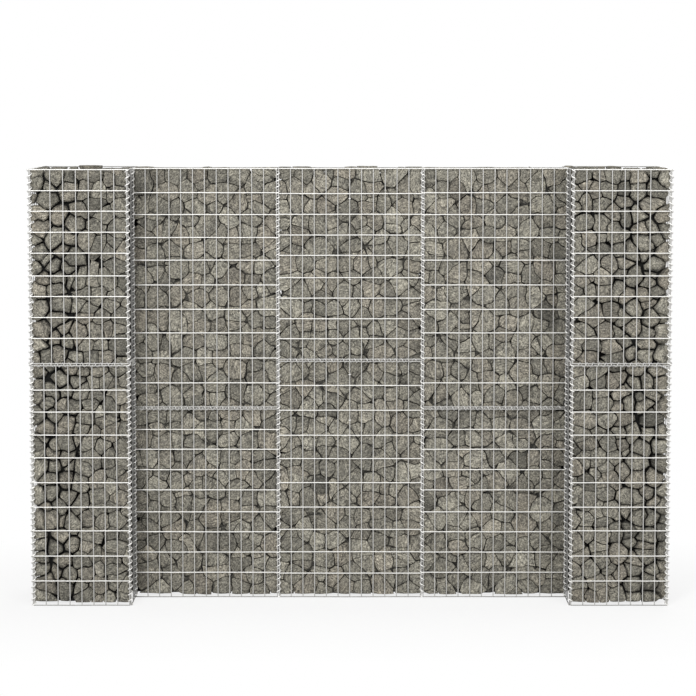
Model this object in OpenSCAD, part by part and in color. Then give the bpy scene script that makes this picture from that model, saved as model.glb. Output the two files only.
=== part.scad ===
/* [Overall] */
// width of the wall between the two pillars
wall_l = 1800; // [1200:10:3000]
// thickness of the wall between the pillars
wall_t = 100; // [80:5:200]
// height of the baskets from the ground to the top wires
total_h = 1790; // [1600:10:2200]
// width and depth of a pillar
pillar_w = 400; // [300:10:600]
/* [Mesh] */
// diameter of the mesh wires
wire = 4; // [3:0.5:5]
// height of the tall mesh sides
tall_h = 992; // [900:2:1100]
// spacing of the upright wires in a bay
bay_pitch = 48.7; // [40:0.1:60]
// spacing of the upright wires in the upper front of a pillar
pillar_pitch = 51.7; // [40:0.1:60]
// number of cells across the other pillar sides
pillar_cells = 8; // [6:2:10]
// height of the lowest wires above the ground, to their middle
foot_gap = 3; // [2.5:0.5:8]
/* [Binders] */
// diameter of the spiral wires
bind_wire = 4; // [3:0.5:5]
// radius of a spiral, to the middle of its wire
bind_r = 8.6; // [8.4:0.1:12]
// space between a spiral and the wires that it holds
bind_gap = 0.3; // [0.2:0.05:0.6]
// usual rise of a spiral in one turn, before it is fitted between two level wires
bind_pitch = 43; // [30:1:55]
// length left free at each end of a level spiral
bind_end = 22; // [20:1:34]
/* [Stones] */
// space between the stone filling and the mesh
fill_gap = 0.3; // [0.2:0.1:2]
// depth of the filling's top below the top wires
fill_drop = 4; // [0:1:20]
// space kept round each spiral in the filling
bind_clear = 1; // [0.5:0.5:3]

/* [Hidden] */
$fn = 48;
steel = [0.80, 0.80, 0.78];
stone = [0.50, 0.49, 0.46];
// a mesh wire is drawn as a square bar with the section of the round wire
bar = wire * sqrt(PI) / 2;
// the two wires of a crossing are pressed into each other by a tenth
lay = bar * 0.45;
half_l = wall_l / 2;
pillar_x = half_l + pillar_w / 2;
pillar_half = pillar_w / 2;
top_z = total_h - wire / 2;
// from a joint to the nearest wire on each side of it, which a spiral holds
inset = bind_r - bind_wire / 2 - wire / 2 - bind_gap;
// from the middle of an upright wire to the outer face of the level wires
skin = 2 * lay + wire / 2;
// the bays stand clear of the pillar's level wires by the same gap
bay_end = skin + bind_gap + wire / 2 - inset;
bay_w = (wall_l - 2 * bay_end) / 3;
// heights of the cells of a tall and of a short side, from top to bottom
tall_cells = [100, 90.5, 95, 94, 103, 101.5, 98, 105, 104, 101];
short_cells = [86, 83.5, 86, 85.5, 93, 84.5, 86, 86, 104];

function total(v, n) = n <= 0 ? 0 : v[n - 1] + total(v, n - 1);
function reversed(v) = [for (i = [len(v) - 1 : -1 : 0]) v[i]];
// levels from lo to hi, with cells in the proportion of v, the first one at the top
function levels(v, lo, hi) = [for (i = [0 : len(v)])
  lo + (hi - lo) * (1 - total(v, len(v) - i) / total(v, len(v)))];
// places from 0 to w, one pitch apart, with what remains in the last cell
function pitched(w, pitch) = concat(
  [for (i = [0 : max(1, floor(w / pitch + 0.3)) - 1]) i * pitch], [w]);
function from_right(v) = [for (i = [len(v) - 1 : -1 : 0]) v[len(v) - 1] - v[i]];
function even(w, n) = [for (i = [0 : n]) i * w / n];

// heights of the joints: over a tall side and over a short one
low_tall = foot_gap + tall_h;
low_short = top_z - tall_h;
rows_pillar_low = levels(tall_cells, foot_gap, low_tall - inset);
rows_pillar_up = levels(short_cells, low_tall + inset, top_z);
rows_bay_low = levels(short_cells, foot_gap, low_short - inset);
rows_bay_up = levels(tall_cells, low_short + inset, top_z);
rows_mid_low = levels(reversed(tall_cells), foot_gap, low_tall - inset);
rows_mid_up = levels(reversed(short_cells), low_tall + inset, top_z);

pillar_panel = pillar_w - 2 * inset;
bay_panel = bay_w - 2 * inset;
cols_bay = pitched(bay_panel, bay_pitch);
cols_front = from_right(pitched(pillar_panel, pillar_pitch));
cols_even = even(pillar_panel, pillar_cells);
// the inner side has an upright wire at each face of the wall, and its first cells are double
beside = pillar_half - inset - wall_t / 2;
cells_beside = max(1, round(beside * pillar_cells / pillar_panel));
cells_at_wall = max(1, round(wall_t * pillar_cells / pillar_panel));
cols_beside = [for (i = [0 : cells_beside]) if (i != 1 || cells_beside < 3) i * beside / cells_beside];
cols_inner = concat(cols_beside,
  [for (i = [1 : cells_at_wall]) beside + i * wall_t / cells_at_wall],
  [for (i = [len(cols_beside) - 2 : -1 : 0]) 2 * beside + wall_t - cols_beside[i]]);

// one welded side: uprights inside, level wires outside, looking at it from outside
module mesh_side(cols, rows) {
  for (x = cols) translate([x - bar / 2, -bar / 2, rows[0] - wire / 2])
    cube([bar, bar, rows[len(rows) - 1] - rows[0] + wire]);
  for (z = rows) translate([cols[0] - wire / 2, -2 * lay - bar / 2, z - bar / 2])
    cube([cols[len(cols) - 1] - cols[0] + wire, bar, bar]);
}

// a spiral is guided by stations, where its wire is at a given side, and keeps clear of cross
// wires: each is a place along it and the part of a turn, from a station, that would meet it
cross_gap = (wire + bind_wire) / 2 + bind_gap;
function apart(a, b) = let (d = abs(a - b) % 1) min(d, 1 - d);
function clears(n, a, b, cross) = min([for (c = cross) if (c[0] > a - 1 && c[0] < b + 1)
  apart(n * (c[0] - a) / (b - a), c[1]) * (b - a) / n, 1000]) >= cross_gap;
function turns(a, b, cross) = let (
    n = max(1, round((b - a) / bind_pitch)),
    fit = [for (k = [n, n + 1, n - 1, n - 2, n + 2, n - 3]) if (k >= 1 && clears(k, a, b, cross)) k]
  ) len(fit) > 0 ? fit[0] : n;
// half a turn, as [place along the spiral, rise, 0 or 1 for the side]: from -x to +x, then back
module half_turn(h) {
  tilt = atan(h[1] / (2 * bind_r));
  translate([0, 0, h[0] + h[1] / 2]) rotate([0, 0, 180 * h[2]]) rotate([0, -tilt, 0])
    rotate([0, 0, 180]) rotate_extrude(angle = 180) translate([bind_r / cos(tilt), 0])
    circle(d = bind_wire + hair * h[2]);
}
// every second half is thicker by a hair, which gives each joint of two halves a clean edge
hair = 0.03;
// the half turns of a spiral, with whole turns between stations, where its wire is at -x
function spiral(stations, cross) = [for (i = [0 : len(stations) - 2])
  let (a = stations[i], b = stations[i + 1], n = turns(a, b, cross), p = (b - a) / n)
    for (k = [0 : 2 * n - 1]) [a + k * p / 2, p / 2, k % 2]];

module at_left_pillar() { translate([-pillar_x, 0, 0]) children(); }
module at_right_pillar() { mirror([1, 0, 0]) at_left_pillar() children(); }
// the four sides of a pillar, seen from outside, for a left pillar
module pillar_front(rows, cols) {
  color(steel) translate([-pillar_half + inset, -pillar_half, 0]) mesh_side(cols, rows);
}
module pillar_back(rows, cols) { mirror([0, 1, 0]) pillar_front(rows, cols); }
module pillar_outer(rows) { rotate([0, 0, -90]) pillar_front(rows, cols_even); }
module pillar_inner(rows) { rotate([0, 0, 90]) pillar_front(rows, cols_inner); }

module left_pillar_front_upper_mesh() { at_left_pillar() pillar_front(rows_pillar_up, cols_front); }
module left_pillar_front_lower_mesh() { at_left_pillar() pillar_front(rows_pillar_low, cols_even); }
module left_pillar_back_upper_mesh() { at_left_pillar() pillar_back(rows_pillar_up, cols_front); }
module left_pillar_back_lower_mesh() { at_left_pillar() pillar_back(rows_pillar_low, cols_even); }
module left_pillar_outer_upper_mesh() { at_left_pillar() pillar_outer(rows_pillar_up); }
module left_pillar_outer_lower_mesh() { at_left_pillar() pillar_outer(rows_pillar_low); }
module left_pillar_inner_upper_mesh() { at_left_pillar() pillar_inner(rows_pillar_up); }
module left_pillar_inner_lower_mesh() { at_left_pillar() pillar_inner(rows_pillar_low); }
module right_pillar_front_upper_mesh() { at_right_pillar() pillar_front(rows_pillar_up, cols_front); }
module right_pillar_front_lower_mesh() { at_right_pillar() pillar_front(rows_pillar_low, cols_even); }
module right_pillar_back_upper_mesh() { at_right_pillar() pillar_back(rows_pillar_up, cols_front); }
module right_pillar_back_lower_mesh() { at_right_pillar() pillar_back(rows_pillar_low, cols_even); }
module right_pillar_outer_upper_mesh() { at_right_pillar() pillar_outer(rows_pillar_up); }
module right_pillar_outer_lower_mesh() { at_right_pillar() pillar_outer(rows_pillar_low); }
module right_pillar_inner_upper_mesh() { at_right_pillar() pillar_inner(rows_pillar_up); }
module right_pillar_inner_lower_mesh() { at_right_pillar() pillar_inner(rows_pillar_low); }

// the front of the bay that starts at x, as high as rows
module bay_front(x, rows) {
  color(steel) translate([x + inset, -wall_t / 2, 0]) mesh_side(cols_bay, rows);
}
module bay_back(x, rows) { mirror([0, 1, 0]) bay_front(x, rows); }
left_x = -1.5 * bay_w;
mid_x = -bay_w / 2;
right_x = bay_w / 2;
module left_bay_front_upper_mesh() { bay_front(left_x, rows_bay_up); }
module left_bay_front_lower_mesh() { bay_front(left_x, rows_bay_low); }
module left_bay_back_upper_mesh() { bay_back(left_x, rows_bay_up); }
module left_bay_back_lower_mesh() { bay_back(left_x, rows_bay_low); }
module centre_bay_front_upper_mesh() { bay_front(mid_x, rows_mid_up); }
module centre_bay_front_lower_mesh() { bay_front(mid_x, rows_mid_low); }
module centre_bay_back_upper_mesh() { bay_back(mid_x, rows_mid_up); }
module centre_bay_back_lower_mesh() { bay_back(mid_x, rows_mid_low); }
module right_bay_front_upper_mesh() { bay_front(right_x, rows_bay_up); }
module right_bay_front_lower_mesh() { bay_front(right_x, rows_bay_low); }
module right_bay_back_upper_mesh() { bay_back(right_x, rows_bay_up); }
module right_bay_back_lower_mesh() { bay_back(right_x, rows_bay_low); }

function middle(v) = [for (i = [1 : len(v) - 2]) v[i]];
function joined(low, z, up) = concat([for (i = [0 : len(low) - 2]) low[i]], [z],
  [for (i = [1 : len(up) - 1]) up[i]]);
function both(low, up) = concat(low, up);
// parts of a turn where a spiral meets the level wires, which lie outside the upright ones
skew = asin(2 * lay / bind_r) / 360;
skew_corner = asin((2 * lay + inset / 2) / bind_r) / 360;

rows_pillar = both(rows_pillar_low, rows_pillar_up);
rows_bay = both(rows_bay_low, rows_bay_up);
rows_mid = both(rows_mid_low, rows_mid_up);
pillar_stations = joined(rows_pillar_low, low_tall, rows_pillar_up);
bay_stations = joined(rows_bay_low, low_short, rows_bay_up);

// a corner spiral holds the edge wires of two sides that meet, here at the left front corner
corner_cross = [for (z = rows_pillar) each [[z, 0.5 - skew_corner], [z, 0.75 + skew_corner]]];
corner_at = -pillar_half + inset / 2;
corner_halves = spiral(pillar_stations, corner_cross);
module corner_spirals(side_x, side_y) {
  color(steel) for (m = [0, 1], h = corner_halves)
    mirror([side_x, 0, 0]) mirror([0, side_y, 0]) translate([-pillar_x, 0, 0]) mirror([m, 0, 0])
      translate([corner_at, corner_at, 0]) half_turn(h);
}
module left_pillar_front_spirals() { corner_spirals(0, 0); }
module left_pillar_back_spirals() { corner_spirals(0, 1); }
module right_pillar_front_spirals() { corner_spirals(1, 0); }
module right_pillar_back_spirals() { corner_spirals(1, 1); }

// a spiral that holds the end of the wall against an upright wire of the pillar
end_cross = concat([for (z = rows_pillar) each [[z, 0.25], [z, 0.75]]],
  [for (z = rows_bay) [z, 0.5 - skew]]);
end_x = left_x + inset + wire / 2 + bind_gap - bind_r + bind_wire / 2;
end_halves = spiral(pillar_stations, end_cross);
module end_spirals(side_x) {
  color(steel) for (m = [0, 1], h = end_halves)
    mirror([side_x, 0, 0]) mirror([0, m, 0]) translate([end_x, -wall_t / 2, 0]) half_turn(h);
}
module left_wall_end_spirals() { end_spirals(0); }
module right_wall_end_spirals() { end_spirals(1); }

// a spiral that holds two bays together
bay_cross = concat([for (z = rows_bay) [z, 0.75 + skew]], [for (z = rows_mid) [z, 0.25 - skew]]);
bay_halves = spiral(bay_stations, bay_cross);
module bay_spirals(side_x) {
  color(steel) for (m = [0, 1], h = bay_halves)
    mirror([side_x, 0, 0]) mirror([0, m, 0]) translate([mid_x, -wall_t / 2, 0])
      rotate([0, 0, 90]) half_turn(h);
}
module left_bay_joint_spirals() { bay_spirals(0); }
module right_bay_joint_spirals() { bay_spirals(1); }

// a level spiral holds an upper and a lower side, whose uprights are at up and low
function level_halves(up, low) = let (
    a = up[0] + bind_end, b = up[len(up) - 1] - bind_end,
    stations = concat([a], [for (x = up) if (x > a + bind_r && x < b - bind_r) x], [b]),
    cross = concat([for (x = up) [x, 0.75 - skew]], [for (x = low) [x, 0.25 + skew]])
  ) spiral(stations, cross);
module level(h) { translate([0, -2 * lay, 0]) rotate([0, 90, 0]) rotate([0, 0, 90]) half_turn(h); }
front_halves = level_halves(cols_front, cols_even);
outer_halves = level_halves(cols_even, cols_even);
inner_halves = level_halves(cols_beside, cols_beside);
// each side's half turns with its angle round the pillar; the back is the front mirrored, and the
// inner side has one spiral before the wall and one behind it
pillar_level = concat([for (h = front_halves) each [[0, 0, h], [0, 1, h]]],
  [for (h = outer_halves) [-90, 0, h]], [for (h = inner_halves) each [[90, 0, h], [90, 1, h]]]);
module pillar_level_spirals(side_x) {
  color(steel) for (s = pillar_level)
    mirror([side_x, 0, 0]) translate([-pillar_x, 0, 0]) mirror([0, s[1], 0]) rotate([0, 0, s[0]])
      translate([-pillar_half + inset, -pillar_half, low_tall]) level(s[2]);
}
module left_pillar_joint_spirals() { pillar_level_spirals(0); }
module right_pillar_joint_spirals() { pillar_level_spirals(1); }
bay_level = level_halves(cols_bay, cols_bay);
module wall_level_spirals(side_y) {
  color(steel) for (s = [[left_x, low_short], [mid_x, low_tall], [right_x, low_short]], h = bay_level)
    mirror([0, side_y, 0]) translate([s[0] + inset, -wall_t / 2, s[1]]) level(h);
}
module wall_front_joint_spirals() { wall_level_spirals(0); }
module wall_back_joint_spirals() { wall_level_spirals(1); }

// room for a spiral in the filling, as wide as the steepest turn leans out
bind_reach = max([for (h = concat(corner_halves, end_halves, bay_halves, front_halves, outer_halves,
  inner_halves, bay_level)) bind_r / cos(atan(h[1] / (2 * bind_r)))]);
module room() { cylinder(r = bind_reach + bind_wire / 2 + bind_clear, h = 3 * total_h, center = true); }
fill_top = total_h - fill_drop;
face_in = wire / 2 + fill_gap;
module pillar_filling() {
  side = pillar_w - 2 * face_in;
  color(stone) difference() {
    translate([-side / 2, -side / 2, 0]) cube([side, side, fill_top]);
    for (a = [0 : 90 : 270]) rotate([0, 0, a]) {
      translate([corner_at, corner_at, 0]) room();
      translate([0, -pillar_half - 2 * lay, low_tall]) rotate([0, 90, 0]) room();
    }
    for (m = [0, 1]) mirror([0, m, 0]) translate([end_x + pillar_x, -wall_t / 2, 0]) room();
  }
}
module left_pillar_stones() { at_left_pillar() pillar_filling(); }
module right_pillar_stones() { at_right_pillar() pillar_filling(); }
// the stones of a bay between x0 and x1, with its joint at z
module bay_filling(x0, x1, z) {
  color(stone) difference() {
    translate([x0, -wall_t / 2 + face_in, 0]) cube([x1 - x0, wall_t - 2 * face_in, fill_top]);
    for (m = [0, 1]) mirror([0, m, 0]) {
      for (x = [end_x, mid_x, right_x, -end_x]) translate([x, -wall_t / 2, 0]) room();
      translate([0, -wall_t / 2 - 2 * lay, z]) rotate([0, 90, 0]) room();
    }
  }
}
fill_end = half_l - skin - fill_gap;
module left_bay_stones() { bay_filling(-fill_end, mid_x - fill_gap / 2, low_short); }
module centre_bay_stones() { bay_filling(mid_x + fill_gap / 2, right_x - fill_gap / 2, low_tall); }
module right_bay_stones() { mirror([1, 0, 0]) left_bay_stones(); }

left_pillar_front_upper_mesh();
left_pillar_front_lower_mesh();
left_pillar_back_upper_mesh();
left_pillar_back_lower_mesh();
left_pillar_outer_upper_mesh();
left_pillar_outer_lower_mesh();
left_pillar_inner_upper_mesh();
left_pillar_inner_lower_mesh();
right_pillar_front_upper_mesh();
right_pillar_front_lower_mesh();
right_pillar_back_upper_mesh();
right_pillar_back_lower_mesh();
right_pillar_outer_upper_mesh();
right_pillar_outer_lower_mesh();
right_pillar_inner_upper_mesh();
right_pillar_inner_lower_mesh();
left_bay_front_upper_mesh();
left_bay_front_lower_mesh();
left_bay_back_upper_mesh();
left_bay_back_lower_mesh();
centre_bay_front_upper_mesh();
centre_bay_front_lower_mesh();
centre_bay_back_upper_mesh();
centre_bay_back_lower_mesh();
right_bay_front_upper_mesh();
right_bay_front_lower_mesh();
right_bay_back_upper_mesh();
right_bay_back_lower_mesh();
left_pillar_front_spirals();
left_pillar_back_spirals();
right_pillar_front_spirals();
right_pillar_back_spirals();
left_wall_end_spirals();
right_wall_end_spirals();
left_bay_joint_spirals();
right_bay_joint_spirals();
left_pillar_joint_spirals();
right_pillar_joint_spirals();
wall_front_joint_spirals();
wall_back_joint_spirals();
left_pillar_stones();
right_pillar_stones();
left_bay_stones();
centre_bay_stones();
right_bay_stones();
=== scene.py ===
"""Gabion wall: two square pillars and three thin bays of welded wire mesh, filled with broken stone
and laced together with spiral wires.

Everything is in metres, with X along the wall, the front at -Y and Z up. Each piece is computed as
whole arrays. The stones stand in layers behind the mesh: each layer is shared out between scattered
places, a stone is the share of one place drawn as rings on one outline, and slow waves bend the
joints between the shares. A mesh wire is a round section carried along a slightly wavy line, and a
spiral is the same section carried along a helix that makes whole turns between the level wires.
"""

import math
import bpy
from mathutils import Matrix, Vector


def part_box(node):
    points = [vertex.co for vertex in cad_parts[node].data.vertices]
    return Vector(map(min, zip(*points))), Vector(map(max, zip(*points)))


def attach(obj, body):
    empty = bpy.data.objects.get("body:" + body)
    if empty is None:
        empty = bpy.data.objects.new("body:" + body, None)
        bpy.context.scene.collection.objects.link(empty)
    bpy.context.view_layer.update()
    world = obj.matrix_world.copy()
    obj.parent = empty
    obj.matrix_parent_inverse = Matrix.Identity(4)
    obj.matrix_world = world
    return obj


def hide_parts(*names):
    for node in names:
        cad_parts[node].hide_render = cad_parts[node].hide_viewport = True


bl_info = {
    "name": "Gabion wall",
    "version": (1, 0, 0),
    "blender": (4, 5, 0),
    "location": "3D View > Sidebar > Gabion wall",
    "description": "Stones, welded mesh and spiral binders of a gabion wall with two pillars",
    "category": "Add Mesh",
}

import bpy
import numpy as np
from mathutils import Euler, Vector

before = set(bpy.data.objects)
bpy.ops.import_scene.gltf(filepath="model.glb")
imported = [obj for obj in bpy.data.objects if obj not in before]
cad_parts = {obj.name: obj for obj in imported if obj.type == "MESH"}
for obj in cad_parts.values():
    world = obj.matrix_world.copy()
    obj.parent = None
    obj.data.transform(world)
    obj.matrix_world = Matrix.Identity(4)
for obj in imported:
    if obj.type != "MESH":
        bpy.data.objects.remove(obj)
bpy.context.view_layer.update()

# Sizes shared with the part's source, in metres
WALL_L, WALL_T, TOTAL_H, PILLAR_W = 1.800, 0.100, 1.790, 0.400
WIRE, BIND_WIRE, BIND_R, BIND_GAP, BIND_END = 0.004, 0.004, 0.0086, 0.0003, 0.022
TALL_H, FOOT_GAP = 0.992, 0.003
BAY_PITCH, PILLAR_PITCH, PILLAR_CELLS = 0.0487, 0.0517, 8
TALL_CELLS = np.array([100, 90.5, 95, 94, 103, 101.5, 98, 105, 104, 101])
SHORT_CELLS = np.array([86, 83.5, 86, 85.5, 93, 84.5, 86, 86, 104])
# The centres of crossing wires lie twice LAY apart, a spiral's axis INSET from the wires that it holds,
# and the level wires reach SKIN in front of the uprights' centres
LAY = WIRE * math.sqrt(math.pi) / 2 * 0.45
INSET = BIND_R - BIND_WIRE / 2 - WIRE / 2 - BIND_GAP
SKIN = 2 * LAY + WIRE / 2
PILLAR_X = (WALL_L + PILLAR_W) / 2
PILLAR_HALF = PILLAR_W / 2
TOP_Z = TOTAL_H - WIRE / 2
BAY_W = (WALL_L - 2 * (SKIN + BIND_GAP + WIRE / 2 - INSET)) / 3
MID_X = -BAY_W / 2
LEFT_X = -1.5 * BAY_W
LOW_TALL = FOOT_GAP + TALL_H
LOW_SHORT = TOP_Z - TALL_H
CORNER_AT = -PILLAR_HALF + INSET / 2
END_X = LEFT_X + INSET + WIRE / 2 + BIND_GAP - BIND_R + BIND_WIRE / 2


def levels(cells, low, high):
    """Heights from low to high with cells in the proportion given, the first cell at the top."""
    up = np.concatenate([[0.0], np.cumsum(cells[::-1])])
    return low + (high - low) * up / up[-1]


def pitched(width, pitch):
    """Places from 0 to width one pitch apart, with what remains in the last cell."""
    return np.append(np.arange(max(1, math.floor(width / pitch + 0.3))) * pitch, width)


ROWS = {
    "pillar_low": levels(TALL_CELLS, FOOT_GAP, LOW_TALL - INSET),
    "pillar_up": levels(SHORT_CELLS, LOW_TALL + INSET, TOP_Z),
    "bay_low": levels(SHORT_CELLS, FOOT_GAP, LOW_SHORT - INSET),
    "bay_up": levels(TALL_CELLS, LOW_SHORT + INSET, TOP_Z),
    "mid_low": levels(TALL_CELLS[::-1], FOOT_GAP, LOW_TALL - INSET),
    "mid_up": levels(SHORT_CELLS[::-1], LOW_TALL + INSET, TOP_Z),
}
PILLAR_PANEL = PILLAR_W - 2 * INSET
BAY_PANEL = BAY_W - 2 * INSET
COLS_BAY = pitched(BAY_PANEL, BAY_PITCH)
COLS_FRONT = PILLAR_PANEL - pitched(PILLAR_PANEL, PILLAR_PITCH)[::-1]
COLS_EVEN = np.linspace(0, PILLAR_PANEL, PILLAR_CELLS + 1)
BESIDE = PILLAR_HALF - INSET - WALL_T / 2
# The inner side's first cells are double, and its two spirals leave the wall's place free
COLS_BESIDE = np.array([0, 2 / 3, 1]) * BESIDE
COLS_INNER = np.concatenate([COLS_BESIDE, [PILLAR_HALF - INSET], PILLAR_PANEL - COLS_BESIDE[::-1]])

# The wires: sides of their sections and steps of a turn, brightness from 0 to 1 (painted shade on
# the uprights and in the inner shade), sizes of the weld beads, and the ties of the centre bay
MESH_SIDES, HELIX_SIDES, HELIX_STEPS = 8, 6, 12
UPRIGHT_SHINE, BEAD_SHINE, INNER_SHADE = 0.42, 0.6, 0.2
BEAD_SIZES, BEAD_SHAPE = (0.0021, 0.0027), np.array([1.05, 0.72, 1.05])
TIE_HEIGHTS, TIE_COLUMN, TIE_RADIUS, TIE_WIRE = np.array([0.745, 0.935, 1.330, 1.665]), 6, 0.0041, 0.0036

# The stones: height of the lowest above the ground, thickness of the layers, how far they draw back
# at the upright edges and round a level joint, and how far and how near the sides their joints bend
FOOT, PILLAR_LAYER, CAP_LAYER, LAYER_GAP = 0.009, 0.060, 0.04, 0.001
EDGE_CUT, HOLLOW, HOLLOW_REACH = 0.0095, 0.0066, 0.015
BEND, CALM_FROM = 0.0030, 0.03
RAYS, NEIGHBOURS, PACKING_CELL = 16, 14, 0.03
# The share of places left empty, and how far a wedged stone keeps from the others and from its like
LEFT_OUT, WEDGE_ROOM, WEDGE_APART = 0.22, 0.032, 0.048
# Stones against their usual size, their joints, and how far their tones lie from the bays'
PILLAR_STONE, BAY_STONE, LOOSE_GAP, TIGHT_GAP = (0.84, 0.90), (1.09, 1.06), 0.0030, 0.8
# The pillars' sides next to the wall take the darker inner tone, which is painted shade
PILLAR_TONE, INNER_SHADED_TONE, CAP_TONE = -0.13, -0.26, -0.06

# The photo's view
LENS, SENSOR, SHIFT, EYE, PITCH = 108.8, 36.0, (-0.0033, -0.13), (0, -8.7, 2.05), 4.16


# Settings that a user would change
class GabionSizes(bpy.types.PropertyGroup):
    stone_width: bpy.props.FloatProperty(
        name="Stone width", description="Usual width of a stone in the wall", default=0.080,
        min=0.04, max=0.2, unit="LENGTH")
    stone_height: bpy.props.FloatProperty(
        name="Stone height", description="Usual height of a stone as it lies", default=0.058,
        min=0.03, max=0.15, unit="LENGTH")
    stone_gap: bpy.props.FloatProperty(
        name="Joint width", description="Open joint between two stones", default=0.0027,
        min=0.0, max=0.02, unit="LENGTH")
    helix_rise: bpy.props.FloatProperty(
        name="Spiral rise", description="Usual rise of a spiral wire in one turn", default=0.0250,
        min=0.02, max=0.06, unit="LENGTH")
    wave: bpy.props.FloatProperty(
        name="Wire waviness", description="How far a mesh wire strays from a straight line",
        default=0.00035, min=0.0, max=0.001, unit="LENGTH")


class GabionColours(bpy.types.PropertyGroup):
    stone_dark: bpy.props.FloatVectorProperty(
        name="Dark stone", description="Darkest kind of stone", subtype="COLOR", size=3,
        default=(0.130, 0.124, 0.108), min=0, max=1)
    stone_mid: bpy.props.FloatVectorProperty(
        name="Grey stone", description="Commonest kind of stone", subtype="COLOR", size=3,
        default=(0.248, 0.235, 0.203), min=0, max=1)
    stone_pale: bpy.props.FloatVectorProperty(
        name="Pale stone", description="Palest kind of stone", subtype="COLOR", size=3,
        default=(0.414, 0.394, 0.341), min=0, max=1)
    stone_warm: bpy.props.FloatVectorProperty(
        name="Brown tint", description="Tint of the stones that hold iron", subtype="COLOR", size=3,
        default=(0.335, 0.294, 0.246), min=0, max=1)
    # Painted shade: the stones darken to this colour with their depth into the joints, and the packing
    # behind them takes it
    joint_shade: bpy.props.FloatVectorProperty(
        name="Joint", description="Damp earth and shade deep in the joints", subtype="COLOR", size=3,
        default=(0.012, 0.012, 0.011), min=0, max=1)
    zinc: bpy.props.FloatVectorProperty(
        name="Zinc", description="Galvanised wire", subtype="COLOR", size=3,
        default=(0.93, 0.92, 0.89), min=0, max=1)
    ground: bpy.props.FloatVectorProperty(
        name="Ground", description="Pale floor under the wall", subtype="COLOR", size=3,
        default=(0.90, 0.90, 0.90), min=0, max=1)


# Meshes from whole arrays
def new_piece(name, corners, faces, attributes):
    """A mesh object from an array of corners and a list of face arrays, in each of which all faces
    have the same number of sides."""
    mesh = bpy.data.meshes.new(name)
    mesh.vertices.add(len(corners))
    mesh.vertices.foreach_set("co", np.asarray(corners, np.float32).ravel())
    loops = np.concatenate([f.ravel() for f in faces]).astype(np.int32)
    counts = np.concatenate([np.full(len(f), f.shape[1]) for f in faces]).astype(np.int32)
    mesh.loops.add(len(loops))
    mesh.loops.foreach_set("vertex_index", loops)
    mesh.polygons.add(len(counts))
    starts = np.concatenate([[0], np.cumsum(counts)[:-1]]).astype(np.int32)
    mesh.polygons.foreach_set("loop_start", starts)
    mesh.polygons.foreach_set("use_smooth", np.full(len(counts), True))
    for key, values in attributes.items():
        layer = mesh.attributes.new(key, "FLOAT_COLOR", "POINT")
        layer.data.foreach_set("color", np.asarray(values, np.float32).ravel())
    mesh.update(calc_edges=True)
    if mesh.validate(verbose=False):
        raise RuntimeError(f"{name}: the mesh had to be repaired")
    piece = bpy.data.objects.new(name, mesh)
    bpy.context.scene.collection.objects.link(piece)
    return piece


def finish_piece(piece, material, nodes):
    """Gives a piece its finish, lets it ride on the body and stand for its solids."""
    piece.data.materials.append(material)
    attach(piece, "root")
    if nodes:
        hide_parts(*nodes)


def tubes(lines, guide, radius, sides):
    """Round bars along many lines at once. lines is (bars, points, 3); at each point the ring is the
    centre + radius * (cos a * N + sin a * B), where N is guide made square to the line and B is
    line x N. Ends are closed by flat caps. Returns corners and the faces of rings and of caps."""
    bars, points = lines.shape[:2]
    along = np.gradient(lines, axis=1)
    along /= np.linalg.norm(along, axis=2, keepdims=True)
    guide = np.broadcast_to(guide, lines.shape)
    n = guide - (guide * along).sum(2, keepdims=True) * along
    n /= np.linalg.norm(n, axis=2, keepdims=True)
    b = np.cross(along, n)
    turn = np.arange(sides) * 2 * math.pi / sides
    ring = lines[:, :, None] + radius * (np.cos(turn)[:, None] * n[:, :, None]
                                         + np.sin(turn)[:, None] * b[:, :, None])
    start = (np.arange(bars) * points * sides)[:, None, None]
    i = np.arange(points - 1)[None, :, None] * sides
    j = np.arange(sides)[None, None, :]
    k = (j + 1) % sides
    quads = np.stack([start + i + j, start + i + k, start + i + sides + k, start + i + sides + j], -1)
    low = start[:, 0] + np.arange(sides)[::-1]
    high = start[:, 0] + (points - 1) * sides + np.arange(sides)
    return ring.reshape(-1, 3), [quads.reshape(-1, 4), np.concatenate([low, high])]


def join(parts):
    """Many (corners, faces) as one, with each face list moved up by the corners before it."""
    corners, faces, at = [], [], 0
    for c, fs in parts:
        corners.append(c)
        faces += [f + at for f in fs]
        at += len(c)
    return np.concatenate(corners), faces


def turned(points, angle):
    """Points turned by angle degrees about Z."""
    c, s = math.cos(math.radians(angle)), math.sin(math.radians(angle))
    return points @ np.array([[c, s, 0], [-s, c, 0], [0, 0, 1]])


def mirrored(part, axis):
    """Corners mirrored along axis 0 or 1, with the faces turned round so that they still point out."""
    corners = part[0].copy()
    corners[:, axis] *= -1
    return corners, [f[:, ::-1] for f in part[1]]


# Welded mesh
def bead_shape():
    """A small drop of six sides and two rings between two poles."""
    turn = np.arange(6) * math.pi / 3
    rings = [np.stack([np.cos(turn) * r, np.sin(turn) * r, np.full(6, z)], 1)
             for r, z in ((0.80, -0.45), (0.80, 0.45))]
    corners = np.concatenate([[[0, 0, -1]], *rings, [[0, 0, 1]]])
    j = np.arange(6)
    k = (j + 1) % 6
    quads = np.stack([1 + j, 1 + k, 7 + k, 7 + j], 1)
    tris = np.concatenate([np.stack([np.zeros(6, int), 1 + k, 1 + j], 1),
                           np.stack([np.full(6, 13), 7 + j, 7 + k], 1)])
    return corners, quads, tris


def wavy(starts, ends, points, wave, rng):
    """Lines from starts to ends, each with two slow waves of its own in both directions across it.
    The waves die out towards the ends: offset = wave * sin(pi t) * sin(turns t + phase)."""
    t = np.linspace(0, 1, points)[None, :, None]
    lines = starts[:, None] * (1 - t) + ends[:, None] * t
    turns = rng.uniform(5, 15, (len(starts), 1, 3))
    phase = rng.uniform(0, 2 * math.pi, (len(starts), 1, 3))
    push = wave * np.sin(math.pi * t) * np.sin(turns * t + phase)
    way = np.abs(ends - starts)[:, None] > 0.01
    return lines + np.where(way, 0, push)


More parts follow.
